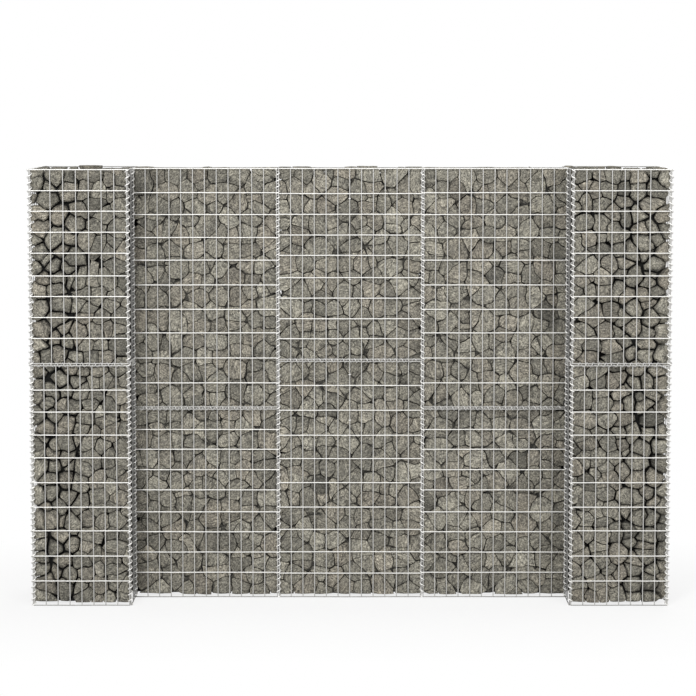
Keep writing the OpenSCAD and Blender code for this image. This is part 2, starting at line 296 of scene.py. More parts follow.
def shines(rows, upper, back):
    """Brightness of the level wires of a side, from 0 to 1, where less is painted shade. The one at the
    joint is duller, and so are the lowest one and the topmost one of the back, which turns its shaded
    side."""
    shine = np.ones(len(rows))
    if upper:
        shine[[0, -1]] = UPRIGHT_SHINE, 0.0 if back else 1.0
    else:
        shine[[0, -1]] = 0.0, UPRIGHT_SHINE
    return shine


def mesh_side(cols, rows, shine, sizes, rng):
    """One welded side in the plane y = 0: uprights, level wires outside them and a bead at each weld."""
    cols, rows = np.asarray(cols), np.asarray(rows)
    zero = np.zeros(len(cols))
    foot = np.stack([cols, zero, zero + rows[0] - WIRE / 2], 1)
    head = np.stack([cols, zero, zero + rows[-1] + WIRE / 2], 1)
    uprights = wavy(foot, head, len(rows) + 2, sizes.wave, rng)
    flat = np.full(len(rows), -2 * LAY)
    left = np.stack([flat * 0 + cols[0] - WIRE / 2, flat, rows], 1)
    right = np.stack([flat * 0 + cols[-1] + WIRE / 2, flat, rows], 1)
    level = wavy(left, right, 9, sizes.wave, rng)
    parts = [tubes(lines, np.array([0, 1.0, 0]), WIRE / 2, MESH_SIDES) for lines in (uprights, level)]
    shape, quads, tris = bead_shape()
    cx, cz = [a.ravel() for a in np.meshgrid(cols, rows)]
    where = np.stack([cx, np.full(len(cx), -LAY), cz], 1)
    size = rng.uniform(*BEAD_SIZES, (len(where), 1, 1)) * BEAD_SHAPE
    drops = (where[:, None] + shape[None] * size).reshape(-1, 3)
    step = (np.arange(len(where)) * len(shape))[:, None, None]
    parts.append((drops, [(quads[None] + step).reshape(-1, 4), (tris[None] + step).reshape(-1, 3)]))
    bright = np.concatenate([np.full(len(parts[0][0]), UPRIGHT_SHINE),
                             np.repeat(shine, len(parts[1][0]) // len(rows)),
                             np.full(len(parts[2][0]), BEAD_SHINE)])
    return *join(parts), np.repeat(bright[:, None], 4, 1)


def placed(part, angle, x, y):
    """A side turned by angle degrees about Z and then moved along x and y."""
    return turned(part[0], angle) + np.array([x, y, 0]), part[1]


def mesh_sides(sizes):
    """Every welded side under the name of its solid: 16 on the pillars and 12 on the bays."""
    rng = np.random.default_rng(41)
    sides = {}
    for level in ("upper", "lower"):
        upper = level == "upper"
        rows = ROWS["pillar_up" if upper else "pillar_low"]
        front_cols = COLS_FRONT if upper else COLS_EVEN
        for face, angle, cols in (("front", 0, front_cols), ("back", 0, front_cols),
                                  ("outer", -90, COLS_EVEN), ("inner", 90, COLS_INNER)):
            for hand in ("left", "right"):
                shine = shines(rows, upper, face == "back")
                corners, faces, bright = mesh_side(cols, rows, shine, sizes, rng)
                flat = (corners + np.array([-PILLAR_HALF + INSET, -PILLAR_HALF, 0]), faces)
                side = placed(flat, angle, -PILLAR_X, 0)
                if face == "back":
                    side = mirrored(side, 1)
                if hand == "right":
                    side = mirrored(side, 0)
                # next to the wall, the wires stand in deep shade, painted by making them duller
                shade = INNER_SHADE if face == "inner" else 1
                sides[f"{hand}_pillar_{face}_{level}_mesh"] = *side, bright * shade
        for bay, x, key in (("left", LEFT_X, "bay"), ("centre", MID_X, "mid"), ("right", -MID_X, "bay")):
            rows = ROWS[f"{key}_{'up' if upper else 'low'}"]
            for face in ("front", "back"):
                *flat, bright = mesh_side(COLS_BAY, rows, shines(rows, upper, face == "back"), sizes, rng)
                side = placed(flat, 0, x + INSET, -WALL_T / 2)
                if face == "back":
                    side = mirrored(side, 1)
                sides[f"{bay}_bay_{face}_{level}_mesh"] = *side, bright
    return sides


def ties():
    """Four wires that hold the two faces of the centre bay together. Each runs straight through and
    winds round the middle upright at both ends: x, y = r * (cos a, sin a) round the upright, with a
    from -220 to 0 degrees in front and from 0 to 220 degrees behind."""
    across = MID_X + INSET + COLS_BAY[TIE_COLUMN]
    turn = np.radians(np.linspace(0, 220, 12))
    x = across + TIE_RADIUS * np.concatenate([np.cos(turn[::-1]), [1, 1], np.cos(turn)])
    out = TIE_RADIUS * np.sin(turn)
    y = np.concatenate([-WALL_T / 2 - out[::-1], [-0.02, 0.02], WALL_T / 2 + out])
    lines = np.stack(np.broadcast_arrays(x, y, TIE_HEIGHTS[:, None]), 2)
    return tubes(lines, np.array([0, 0, 1.0]), TIE_WIRE / 2, HELIX_SIDES)


# Spiral binders
def helix(stations, rise, phase):
    """A wire wound round the Z axis. Between two stations it makes a whole number of turns, the
    nearest to rise, and starts each from the -x side turned by phase:
    x, y = BIND_R * (cos a, sin a), a = 180 + phase + 360 * turns."""
    whole = [max(1, round((b - a) / rise)) for a, b in zip(stations[:-1], stations[1:])]
    done = np.concatenate([[0], np.cumsum(whole)])
    turn = np.linspace(0, done[-1], done[-1] * HELIX_STEPS + 1)
    z = np.interp(turn, done, stations)
    a = math.radians(180 + phase) + 2 * math.pi * turn
    out = np.stack([np.cos(a), np.sin(a), np.zeros(len(a))], 1)
    line = out * BIND_R + np.stack([z * 0, z * 0, z], 1)
    return tubes(line[None], out[None], BIND_WIRE / 2, HELIX_SIDES)


def stations(low, joint, up):
    """Heights of the level wires, with the joint between two sides taking the place of its two wires."""
    return np.concatenate([low[:-1], [joint], up[1:]])


def level_helix(cols, rise):
    """A spiral that lies along X, with one turn station at each upright between its ends."""
    a, b = cols[0] + BIND_END, cols[-1] - BIND_END
    inner = [x for x in cols if a + BIND_R < x < b - BIND_R]
    corners, faces = helix(np.array([a, *inner, b]), rise, 90)
    # the axis turns from Z to X: (x, y, z) becomes (z, y, -x)
    return np.stack([corners[:, 2], corners[:, 1] - 2 * LAY, -corners[:, 0]], 1), faces


def spirals(sizes):
    """Every spiral under the name of its solid: upright ones at corners, ends and joints, and level
    ones at the joints between upper and lower sides."""
    made = {}
    rise = sizes.helix_rise
    pillar = stations(ROWS["pillar_low"], LOW_TALL, ROWS["pillar_up"])
    bay = stations(ROWS["bay_low"], LOW_SHORT, ROWS["bay_up"])

    def shifted(part, x, y, z=0.0):
        return part[0] + np.array([x, y, z]), part[1]

    # both front corners of a pillar are wound the same way round
    pair = [shifted(helix(pillar, rise, phase), -PILLAR_X + x, CORNER_AT)
            for phase, x in ((45, CORNER_AT), (135, -CORNER_AT))]
    end = shifted(helix(pillar, rise, 0), END_X, -WALL_T / 2)
    joint = shifted(helix(bay, rise, 90), MID_X, -WALL_T / 2)
    front, even, inner = (level_helix(c, rise) for c in (COLS_FRONT, COLS_EVEN, COLS_BESIDE))
    edge = [(-PILLAR_HALF + INSET), -PILLAR_HALF, LOW_TALL]
    girdle = [shifted(front, *edge), mirrored(shifted(front, *edge), 1)]
    beside = placed(shifted(inner, *edge), 90, 0, 0)
    girdle += [placed(shifted(even, *edge), -90, 0, 0), beside, mirrored(beside, 1)]
    girdle = [shifted(g, -PILLAR_X, 0) for g in girdle]
    run = level_helix(COLS_BAY, rise)
    wall = [shifted(run, x + INSET, -WALL_T / 2, z)
            for x, z in ((LEFT_X, LOW_SHORT), (MID_X, LOW_TALL), (-MID_X, LOW_SHORT))]
    for hand in ("left", "right"):
        def sided(parts):
            return join([mirrored(p, 0) for p in parts] if hand == "right" else parts)
        made[f"{hand}_pillar_front_spirals"] = sided(pair)
        made[f"{hand}_pillar_back_spirals"] = sided([mirrored(p, 1) for p in pair])
        made[f"{hand}_wall_end_spirals"] = sided([end, mirrored(end, 1)])
        made[f"{hand}_bay_joint_spirals"] = sided([joint, mirrored(joint, 1)])
        made[f"{hand}_pillar_joint_spirals"] = sided(girdle)
    made["wall_front_joint_spirals"] = join(wall)
    made["wall_back_joint_spirals"] = join([mirrored(w, 1) for w in wall])
    return made


# Stones
def seeds(width, low, high, step, rng):
    """Places on a face: a jittered grid in staggered rows with about a fifth left out, so that some
    stones grow large, and small ones wedged in where there is room."""
    counts = np.maximum(1, np.round(np.array([width, high - low]) / step)).astype(int)
    column, row = [a.ravel() for a in np.meshgrid(np.arange(counts[0]), np.arange(counts[1]))]
    cell = np.array([width, high - low]) / counts
    grid = np.stack([column + 0.25 + 0.5 * (row % 2), row + 0.5], 1)
    grid = grid + rng.uniform(-0.34, 0.34, grid.shape)
    point = (grid * cell)[rng.random(len(grid)) > LEFT_OUT]
    wedge = rng.uniform(0, 1, (len(point) * 2, 2)) * [width, high - low]
    apart = np.linalg.norm(wedge[:, None] - point[None], axis=2).min(1)
    between = np.linalg.norm(wedge[:, None] - wedge[None], axis=2) + 9.0 * np.tri(len(wedge))
    wedge = wedge[(apart > WEDGE_ROOM) & (between.min(1) > WEDGE_APART)]
    size = np.concatenate([rng.uniform(-0.0004, 0.0007, len(point)), np.full(len(wedge), -0.0006)])
    place = np.clip(np.concatenate([point, wedge]), 0.012, [width - 0.012, high - low - 0.012])
    return place + [0, low], size


def outlines(place, size, box, gap, power, rng):
    """The outline of each stone as RAYS places round its seed. The seed's cell is bounded by a line
    k at h_k towards each neighbour, half way but moved by the two sizes and drawn back by half the
    joint, and by the sides of the box. A ray ends at (sum_k (n_k.d / h_k)^p)^(-1/p), and where two
    neighbouring rays end on different lines, the nearer one goes through the corner between them."""
    away = place[None] - place[:, None]
    far = np.linalg.norm(away, axis=2) + 9.0 * np.eye(len(place))
    near = np.argsort(far, axis=1)[:, :NEIGHBOURS]
    far = np.take_along_axis(far, near, 1)
    normal = np.take_along_axis(away, near[:, :, None], 1) / far[:, :, None]
    half = far / 2 + (size[:, None] - size[near]) / (2 * far) - gap[:, None] / 2
    sides = np.broadcast_to(np.array([[1, 0], [-1, 0], [0, 1], [0, -1.0]]), (len(place), 4, 2))
    x, z = place.T
    reach = np.stack([box[1] - x, x - box[0], box[3] - z, z - box[2]], 1)
    reach = reach - rng.random(reach.shape) * [0.0015, 0.0015, 0.004, 0.004]
    reach[:, 2] += rng.uniform(0, 0.011, len(place))
    normal, half = np.concatenate([normal, sides], 1), np.maximum(np.concatenate([half, reach], 1), 0.007)
    turn = (np.arange(RAYS) + rng.uniform(0, 1, (len(place), 1))) * 2 * math.pi / RAYS
    d = np.stack([np.cos(turn), np.sin(turn)], 2)
    slope = np.maximum(np.einsum("skx,srx->srk", normal, d), 0) / half[:, None]
    line, biggest = slope.argmax(2), slope.max(2)
    p = power[:, None]
    r = ((slope / biggest[:, :, None]) ** p[:, :, None]).sum(2) ** (-1 / p) / biggest
    rim = r[:, :, None] * d
    # the corner between the lines of ray i and of the next ray
    following = np.roll(line, -1, 1)
    n1, n2 = (np.take_along_axis(normal, k[:, :, None], 1) for k in (line, following))
    h1, h2 = (np.take_along_axis(half, k, 1) for k in (line, following))
    cross = n1[..., 0] * n2[..., 1] - n1[..., 1] * n2[..., 0]
    safe = np.where(np.abs(cross) < 0.1, 1.0, cross)
    corner = np.stack([h1 * n2[..., 1] - h2 * n1[..., 1], h2 * n1[..., 0] - h1 * n2[..., 0]], 2)
    corner = corner / safe[..., None]
    after = np.roll(d, -1, 1)
    past = d[..., 0] * corner[..., 1] - d[..., 1] * corner[..., 0]
    left = corner[..., 0] * after[..., 1] - corner[..., 1] * after[..., 0]
    inside = (np.einsum("skx,srx->srk", normal, corner) < half[:, None] + 1e-6).all(2)
    fits = (cross > 0.1) & (past > 0) & (left > 0) & inside & (line != following)
    corner = corner * (2.0 ** (-1 / p))[..., None]
    rim = np.where((fits & (past <= left))[..., None], corner, rim)
    late = np.roll(fits & (past > left), 1, 1)
    return np.where(late[..., None], np.roll(corner, 1, 1), rim)


def bent(flat, box, rng):
    """Places moved by four slow waves, so that straight joints bend while neighbours stay neighbours.
    Each wave moves a place across its own way, by BEND * sin(k.place + phase), and all of them die
    out from CALM_FROM to the sides of the box."""
    low, high = np.array(box[0::2]), np.array(box[1::2])
    calm = np.clip(np.minimum(flat - low, high - flat) / CALM_FROM, 0, 1).min(-1, keepdims=True)
    angle, phase = rng.uniform(0, 2 * math.pi, (2, 4))
    way = np.stack([np.cos(angle), np.sin(angle)])
    wave = np.sin(flat @ (way * rng.uniform(65, 115, 4)) + phase)
    return flat + calm * (wave @ np.stack([-way[1], way[0]], 1)) * BEND


def sheet(box, depth, step, gap_of, round_of, seed, lighter=0.0, open_ends=False):
    """One layer of broken stones set against a mesh. It is drawn with X along, Z up and Y inwards
    from 0, the face that shows, to depth; box is x low, x high, z low, z high. Each stone is five
    rings on one outline: the face is the greatest of three tipped planes, so that it breaks into
    flats, its rim is rounded off, and behind it narrows a little. Painted shade darkens it with its
    depth below the face and the top, and with open_ends below the two ends too."""
    rng = np.random.default_rng(seed)
    place, size = seeds(box[1] - box[0], box[2], box[3], np.array(step), rng)
    place = place + [box[0], 0]
    loose = round_of(place)
    keen = rng.uniform(10, 40, len(place))
    gap = gap_of(place) * rng.uniform(0.4, 1.6, len(place))
    rim = outlines(place, size, box, gap, keen + (11 - keen) * loose, rng)
    span = np.linalg.norm(rim, axis=2)
    rim = rim * (1 + np.clip(rng.normal(0, 0.012, span.shape), -0.03, 0.015))[..., None]
    edge = (0.0018 + 0.0050 * loose)[:, None]
    tip = rng.normal(0, 0.14, (len(place), 3, 2))
    start = rng.uniform(-0.4, 0.4, (len(place), 3, 2)) * span.mean(1)[:, None, None]
    recess = rng.uniform(0.0004, 0.0050, (len(place), 1))

    def face(flat):
        high = np.einsum("skx,srkx->srk", tip, flat[:, :, None] - start[:, None]).max(2)
        return np.clip(recess + high + 0.002, 0.0003, 0.016)

    centre = np.zeros((len(place), 1, 2))
    rings = [(centre, face(centre)), (rim * 0.58, face(rim * 0.58) + 0.0010 * loose[:, None])]
    inner = rim * (1 - edge / span)[..., None]
    rings += [(inner, face(inner) + 0.0003 + 0.0024 * loose[:, None])]
    rings += [(rim, face(rim) + 0.0026 + 0.0070 * loose[:, None]), (rim * 0.96, depth - 0.004 + 0 * span),
              (centre, np.full((len(place), 1), depth))]
    flat, y = np.concatenate([r[0] for r in rings], 1), np.concatenate([r[1] for r in rings], 1)
    flat = bent(place[:, None] + flat, box, rng)
    corners = np.stack([flat[..., 0], y, flat[..., 1]], 2)
    j = np.arange(RAYS)
    k = (j + 1) % RAYS
    last = 1 + 4 * RAYS
    fans = np.concatenate([np.stack([0 * j, 1 + j, 1 + k], 1),
                           np.stack([0 * j + last, last - RAYS + k, last - RAYS + j], 1)])
    bands = np.concatenate([np.stack([1 + r + j, 1 + r + RAYS + j, 1 + r + RAYS + k, 1 + r + k], 1)
                            for r in (0, RAYS, 2 * RAYS)])
    up = (np.arange(len(place)) * (last + 1))[:, None, None]
    tone = 0.5 + 0.85 * (rng.random((3, len(place))).mean(0) - 0.5) + lighter
    tone += 0.06 * loose - 0.22 * (rng.random(len(place)) < 0.08)
    own = np.stack([np.clip(tone, 0, 1), rng.random(len(place))], 1)
    # painted shade: the third colour channel falls with the depth below the face and the top, so the
    # stones darken into the joints
    below = np.maximum(np.minimum(y, box[3] - corners[..., 2]), 0)
    if open_ends:
        below = np.minimum(below, np.minimum(corners[..., 0] - box[0], box[1] - corners[..., 0]))
    colour = np.concatenate([np.broadcast_to(own[:, None], (*y.shape, 2)),
                             np.clip(1.3 - below / 0.026, 0, 1)[..., None], np.ones((*y.shape, 1))], 2)
    faces = [(fans[None] + up).reshape(-1, 3), (bands[None] + up).reshape(-1, 4)]
    return corners.reshape(-1, 3), faces, colour.reshape(-1, 4)


def eased(corners, low, high, level):
    """Stones drawn back where the spirals run: behind the cut that takes the upright edges off, and
    by a soft hollow round the level joint."""
    low, high = np.array(low), np.array(high)
    for x, y in ((1, 1), (1, -1), (-1, 1), (-1, -1)):
        way = np.array([x, y, 0]) / math.sqrt(2)
        edge = np.array([high[0] if x > 0 else low[0], high[1] if y > 0 else low[1], 0])
        corners = corners - np.maximum((corners - edge) @ way + EDGE_CUT, 0)[:, None] * way
    middle, span = (low + high) / 2, (high - low) / 2
    offset = corners[:, :2] - middle[:2]
    hollow = HOLLOW * np.exp(-((corners[:, 2] - level) / HOLLOW_REACH) ** 4)[:, None]
    limit = span[:2] - hollow
    corners[:, :2] = middle[:2] + np.clip(offset, -limit, limit)
    return corners


def packing(low, high, seed, unshaded):
    """The small stuff behind the stones: a closed box drawn as a grid on all sides, with each corner
    pushed along all three axes by slow waves, so that no straight edge is left. It is dull and plain,
    and its dark colour is painted shade for the gaps between the stones; its last value says how far
    it stands out of that painted shade."""
    low, high = np.array(low, float), np.array(high, float)
    rng = np.random.default_rng(seed)
    n = np.maximum(2, np.round((high - low) / PACKING_CELL)).astype(int)
    parts, faces, at = [], [], 0
    for axis in range(3):
        a, b = (axis + 1) % 3, (axis + 2) % 3
        i, j = np.meshgrid(np.arange(n[a] + 1), np.arange(n[b] + 1), indexing="ij")
        for end in (0, 1):
            p = np.zeros((i.size, 3))
            p[:, a], p[:, b], p[:, axis] = i.ravel() / n[a], j.ravel() / n[b], end
            q0 = (np.arange(n[a])[:, None] * (n[b] + 1) + np.arange(n[b])).ravel()
            q = np.stack([q0, q0 + n[b] + 1, q0 + n[b] + 2, q0 + 1], 1)
            faces.append((q if end else q[:, ::-1]) + at)
            parts.append(p)
            at += len(p)
    unit = np.concatenate(parts)
    _, first, same = np.unique(np.round(unit * 10000).astype(int), axis=0, return_index=True,
                               return_inverse=True)
    unit, quads = unit[first], same.ravel()[np.concatenate(faces)]
    p = low + unit * (high - low)
    push = sum(np.sin(p @ rng.normal(0, f, (3, 3)) + rng.uniform(0, 6.3, 3)) * a
               for f, a in ((30, 0.003), (70, 0.002)))
    # painted shade: the packing is dark, standing for the shade in the gaps between the stones
    colour = np.tile([0.3, 0.3, unshaded, 1.0], (len(p), 1))
    return p + push, [quads], colour


# Materials
class Graph:
    """A small helper that adds nodes to a material and joins them."""

    def __init__(self, name):
        self.material = bpy.data.materials.new(name)
        self.material.use_nodes = True
        self.tree = self.material.node_tree
        self.tree.nodes.clear()
        self.out = self.add("ShaderNodeOutputMaterial")

    def add(self, kind, inputs=None, **settings):
        node = self.tree.nodes.new(kind)
        for key, value in settings.items():
            setattr(node, key, value)
        for key, value in (inputs or {}).items():
            socket = node.inputs[key]
            if isinstance(value, bpy.types.NodeSocket):
                self.tree.links.new(value, socket)
            else:
                socket.default_value = value
        return node

    def math(self, operation, a, b=0.5):
        return self.add("ShaderNodeMath", {0: a, 1: b}, operation=operation).outputs[0]

    def spread(self, value, lo, hi, to_lo, to_hi):
        """Value mapped from lo..hi to to_lo..to_hi and held there."""
        node = self.add("ShaderNodeMapRange", {"Value": value, "From Min": lo, "From Max": hi,
                                               "To Min": to_lo, "To Max": to_hi})
        return node.outputs["Result"]

    def mix(self, factor, a, b, blend="MIX"):
        node = self.add("ShaderNodeMix", {0: factor}, data_type="RGBA", blend_type=blend)
        for socket, value in ((node.inputs[6], a), (node.inputs[7], b)):
            if isinstance(value, bpy.types.NodeSocket):
                self.tree.links.new(value, socket)
            else:
                socket.default_value = (*value, 1.0) if len(value) == 3 else value
        return node.outputs[2]

    def shade(self, base, value, lo, hi, dark, light):
        """Base multiplied by a colour that goes from dark to light while value goes from lo to hi."""
        return self.mix(1.0, base, self.mix(self.spread(value, lo, hi, 0, 1), dark, light), "MULTIPLY")

    def noise(self, vector, scale, detail=4.0, rough=0.55):
        return self.add("ShaderNodeTexNoise", {"Vector": vector, "Scale": scale, "Detail": detail,
                                               "Roughness": rough}).outputs["Fac"]

    def surface(self, shader):
        self.tree.links.new(shader.outputs[0], self.out.inputs["Surface"])
        return self.material


def stone_material(colours):
    """Broken stone: a tone and a tint for each stone, mottling, thin veins, grain, and painted shade deep
    in the joints.
    """
    g = Graph("broken_stone")
    place = g.add("ShaderNodeTexCoord").outputs["Object"]
    own = g.add("ShaderNodeAttribute", attribute_name="stone").outputs["Color"]
    split = g.add("ShaderNodeSeparateColor", {"Color": own})
    tone, warm, unshaded = (split.outputs[i] for i in range(3))
    steps = {axis: g.math("MULTIPLY", value, factor)
             for axis, value, factor in (("X", tone, 7.3), ("Y", warm, 5.1), ("Z", tone, 3.7))}
    shift = g.add("ShaderNodeCombineXYZ", steps).outputs[0]
    at = g.add("ShaderNodeVectorMath", {0: place, 1: shift}, operation="ADD").outputs[0]
    turn = g.add("ShaderNodeVectorRotate", {"Vector": at, "Angle": g.math("MULTIPLY", tone, 25.0),
                                            "Axis": (0.4, 0.8, 0.45)}).outputs[0]
    dark, mid, pale = colours.stone_dark, colours.stone_mid, colours.stone_pale
    base = g.mix(g.spread(tone, 0.0, 0.45, 0, 1), dark, mid)
    base = g.mix(g.spread(tone, 0.45, 1.0, 0, 1), base, pale)
    base = g.mix(g.spread(warm, 0.55, 1.0, 0.0, 0.38), base, colours.stone_warm)
    broad = g.noise(turn, 22.0, 5.0, 0.6)
    base = g.shade(base, broad, 0.3, 0.7, (0.80, 0.81, 0.82), (1.18, 1.17, 1.14))
    layered = g.add("ShaderNodeMapping", {"Vector": turn, "Scale": (1.0, 1.0, 4.6)}).outputs[0]
    streak = g.noise(layered, 46.0, 6.0, 0.72)
    base = g.shade(base, streak, 0.36, 0.64, (0.45, 0.45, 0.45), (1.54, 1.54, 1.52))
    pitted = g.noise(turn, 165.0, 3.0, 0.6)
    base = g.shade(base, pitted, 0.34, 0.66, (0.50, 0.50, 0.50), (1.49, 1.49, 1.47))
    # hair lines follow the level curves of a slow noise
    slow = g.math("ABSOLUTE", g.math("SUBTRACT", g.noise(turn, 20.0, 3.0, 0.6), 0.5))
    seam = g.spread(slow, 0.0, 0.021, 0.85, 0.0)
    seam = g.math("MULTIPLY", seam, g.spread(g.noise(at, 11.0, 2.0), 0.38, 0.52, 0.0, 1.0))
    base = g.mix(seam, base, (0.05, 0.047, 0.042))
    grain = g.noise(at, 420.0, 3.0, 0.7)
    base = g.shade(base, grain, 0.3, 0.7, (0.80, 0.80, 0.79), (1.20, 1.20, 1.19))
    # painted shade: the stone turns to the joint colour as it lies deeper in the joints, and a slow noise
    # makes the edge of that shade ragged
    ragged_shade = g.noise(place, 60.0, 3.0)
    lit_share = g.math("ADD", unshaded, g.spread(ragged_shade, 0.3, 0.7, -0.18, 0.18))
    base = g.mix(g.spread(lit_share, 0.15, 0.85, 0, 1), colours.joint_shade, base)
    fine = g.add("ShaderNodeBump", {"Height": grain, "Strength": 0.35, "Distance": 0.0012})
    rough_face = g.add("ShaderNodeBump", {"Height": g.math("ADD", g.noise(turn, 80.0, 5.0, 0.65), streak),
                                          "Strength": 0.9, "Distance": 0.007, "Normal": fine.outputs[0]})
    chips = g.add("ShaderNodeTexVoronoi", {"Vector": turn, "Scale": 30.0}, feature="F1").outputs
    chipped = g.add("ShaderNodeBump", {"Height": chips["Distance"], "Strength": 0.45, "Distance": 0.008,
                                       "Normal": rough_face.outputs[0]})
    shader = g.add("ShaderNodeBsdfPrincipled", {"Base Color": base, "Normal": chipped.outputs[0],
                                                "Roughness": g.spread(broad, 0.3, 0.7, 0.82, 0.95),
                                                "Specular IOR Level": 0.3})
    return g.surface(shader)


def zinc_material(colours, name, metallic, lift, dull):
    """Galvanised wire: pale zinc with a soft spangle, dull patches and fine draw marks. Where the
    attribute wire is below 1, as on the uprights and level spirals, the zinc is darker by painted shade."""
    g = Graph(name)
    place = g.add("ShaderNodeTexCoord").outputs["Object"]
    spangle = g.add("ShaderNodeTexVoronoi", {"Vector": place, "Scale": 260.0}).outputs["Color"]
    flake = g.add("ShaderNodeSeparateColor", {"Color": spangle}).outputs[0]
    zinc = tuple(min(1.0, c * lift) for c in colours.zinc)
    base = g.mix(g.spread(flake, 0, 1, 0.0, 1.0), tuple(c * 0.90 for c in zinc), zinc)
    own = g.add("ShaderNodeAttribute", attribute_name="wire").outputs["Color"]
    bright = g.add("ShaderNodeSeparateColor", {"Color": own}).outputs[0]
    # painted shade: the zinc is multiplied down where the attribute wire is below 1
    base = g.mix(bright, g.mix(1.0, base, (dull, dull, dull), "MULTIPLY"), base)
    patch = g.noise(place, 9.0, 4.0)
    base = g.mix(g.spread(patch, 0.55, 0.8, 0.0, 0.35), base, tuple(c * 0.72 for c in zinc))
    drawn = g.add("ShaderNodeMapping", {"Vector": place, "Scale": (1.0, 1.0, 0.15)}).outputs[0]
    draw = g.noise(drawn, 900.0, 2.0)
    bump = g.add("ShaderNodeBump", {"Height": draw, "Strength": 0.15, "Distance": 0.0003})
    rough = g.spread(patch, 0.3, 0.8, 0.34, 0.55)
    shader = g.add("ShaderNodeBsdfPrincipled", {"Base Color": base, "Metallic": metallic,
                                                "Roughness": rough, "Normal": bump.outputs[0]})
    return g.surface(shader)


# Operators
class GABION_OT_stones(bpy.types.Operator):
    """Fill the pillars and bays with broken stone."""
    bl_idname = "gabion.stones"
    bl_label = "Stones"

    def execute(self, context):
        sizes, colours = context.scene.gabion_sizes, context.scene.gabion_colours
        material = stone_material(colours)
        gap, step = sizes.stone_gap, np.array([sizes.stone_width, sizes.stone_height])

        def finish_filling(name, node, level, parts, colours_of, deep, seed, unshaded):
            low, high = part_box(node)
            corners, faces = join(parts)
            corners = eased(corners, low, high, level)
            low, high = np.array(low), np.array(high)
            inner = np.array([*deep, 0.0])
            core = packing(low + inner + [0, 0, FOOT + 0.006], high - inner - [0, 0, 0.024], seed, unshaded)
            corners, faces = join([(corners, faces), core[:2]])
            piece = new_piece(name, corners, faces, {"stone": np.concatenate([*colours_of, core[2]])})
            piece.data.set_sharp_from_angle(angle=math.radians(28))
            finish_piece(piece, material, [node])

        for number, hand in enumerate(("left", "right")):
            node = f"{hand}_pillar_stones"
            low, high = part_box(node)
            half, middle = (high[0] - low[0]) / 2, (low[0] + high[0]) / 2
            parts, shades = [], []
            for turn in range(4):
                # the two wide layers reach from edge to edge, and the other two stand between them
                wide = half if turn % 2 == 0 else half - PILLAR_LAYER - LAYER_GAP
                # which way the outer end of the wall lies in this layer's own X
                out = (1, 0, -1, 0)[turn] * (-1 if hand == "left" else 1)
                inner = turn == (1 if hand == "left" else 3)

                def loose(place, out=out, turn=turn, inner=inner):
                    """1 in the half away from the wall, where the stones are rounder and lie loose."""
                    if turn % 2:
                        return np.full(len(place), 1.0 if inner else 0.6)
                    return np.clip(out * place[:, 0] / 0.05 + 0.5, 0, 1)

                # on the side next to the wall the stones take a darker tone, painted shade
                part = sheet((-wide, wide, FOOT, high[2]), PILLAR_LAYER, step * PILLAR_STONE,
                             lambda p, f=loose: gap + LOOSE_GAP * f(p), loose, 100 + 10 * number + turn,
                             INNER_SHADED_TONE if inner else PILLAR_TONE, turn % 2 == 0)
                if inner:
                    # the side next to the wall stands in deep shade, up to a hand below the top
                    part[2][:, 2] *= 0.5 + 0.5 * np.clip((part[0][:, 2] - high[2] + 0.08) / 0.04, 0, 1)
                shades.append(part[2])
                parts.append(placed((part[0] - np.array([0, half, 0]), part[1]), 90 * turn, middle, 0))
            # the top between the four layers, laid flat
            reach = half - PILLAR_LAYER
            cap = sheet((-reach, reach, -reach, reach), CAP_LAYER, step, lambda p: np.full(len(p), gap),
                        lambda p: np.full(len(p), 0.3), 180 + number, CAP_TONE)
            flat = cap[0]
            parts.append((np.stack([flat[:, 0] + middle, flat[:, 2], high[2] - flat[:, 1]], 1), cap[1]))
            shades.append(cap[2])
            finish_filling(f"{hand}_pillar_rubble", node, LOW_TALL, parts, shades, (0.040, 0.040),
                           200 + number, 0.0)
        for number, bay in enumerate(("left", "centre", "right")):
            node = f"{bay}_bay_stones"
            low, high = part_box(node)
            middle, half, reach = (low[0] + high[0]) / 2, (high[0] - low[0]) / 2, (high[1] - low[1]) / 2
            parts, shades = [], []
            for side in (0, 1):
                part = sheet((-half, half, FOOT, high[2]), reach - LAYER_GAP, step * BAY_STONE,
                             lambda p: np.full(len(p), TIGHT_GAP * gap), lambda p: np.zeros(len(p)),
                             300 + 10 * number + side)
                shades.append(part[2])
                parts.append(placed((part[0] - np.array([0, reach, 0]), part[1]), 180 * side, middle, 0))
            level = LOW_TALL if bay == "centre" else LOW_SHORT
            finish_filling(f"{bay}_bay_rubble", node, level, parts, shades, (0.016, 0.020),
                           400 + number, 0.30)
        return {"FINISHED"}


class GABION_OT_mesh(bpy.types.Operator):
    """Weld the mesh sides of the pillars and bays."""
    bl_idname = "gabion.mesh"
    bl_label = "Welded mesh"

    def execute(self, context):
        material = zinc_material(context.scene.gabion_colours, "zinc_mesh", 0.30, 1.0, 0.34)
        for node, (corners, faces, bright) in mesh_sides(context.scene.gabion_sizes).items():
            piece = new_piece(node.replace("_mesh", "_wires"), corners, faces, {"wire": bright})
            piece.data.set_sharp_from_angle(angle=math.radians(60))
            finish_piece(piece, material, [node])
        corners, faces = ties()
        piece = new_piece("centre_bay_ties", corners, faces, {"wire": np.ones((len(corners), 4))})
        finish_piece(piece, material, [])
        return {"FINISHED"}


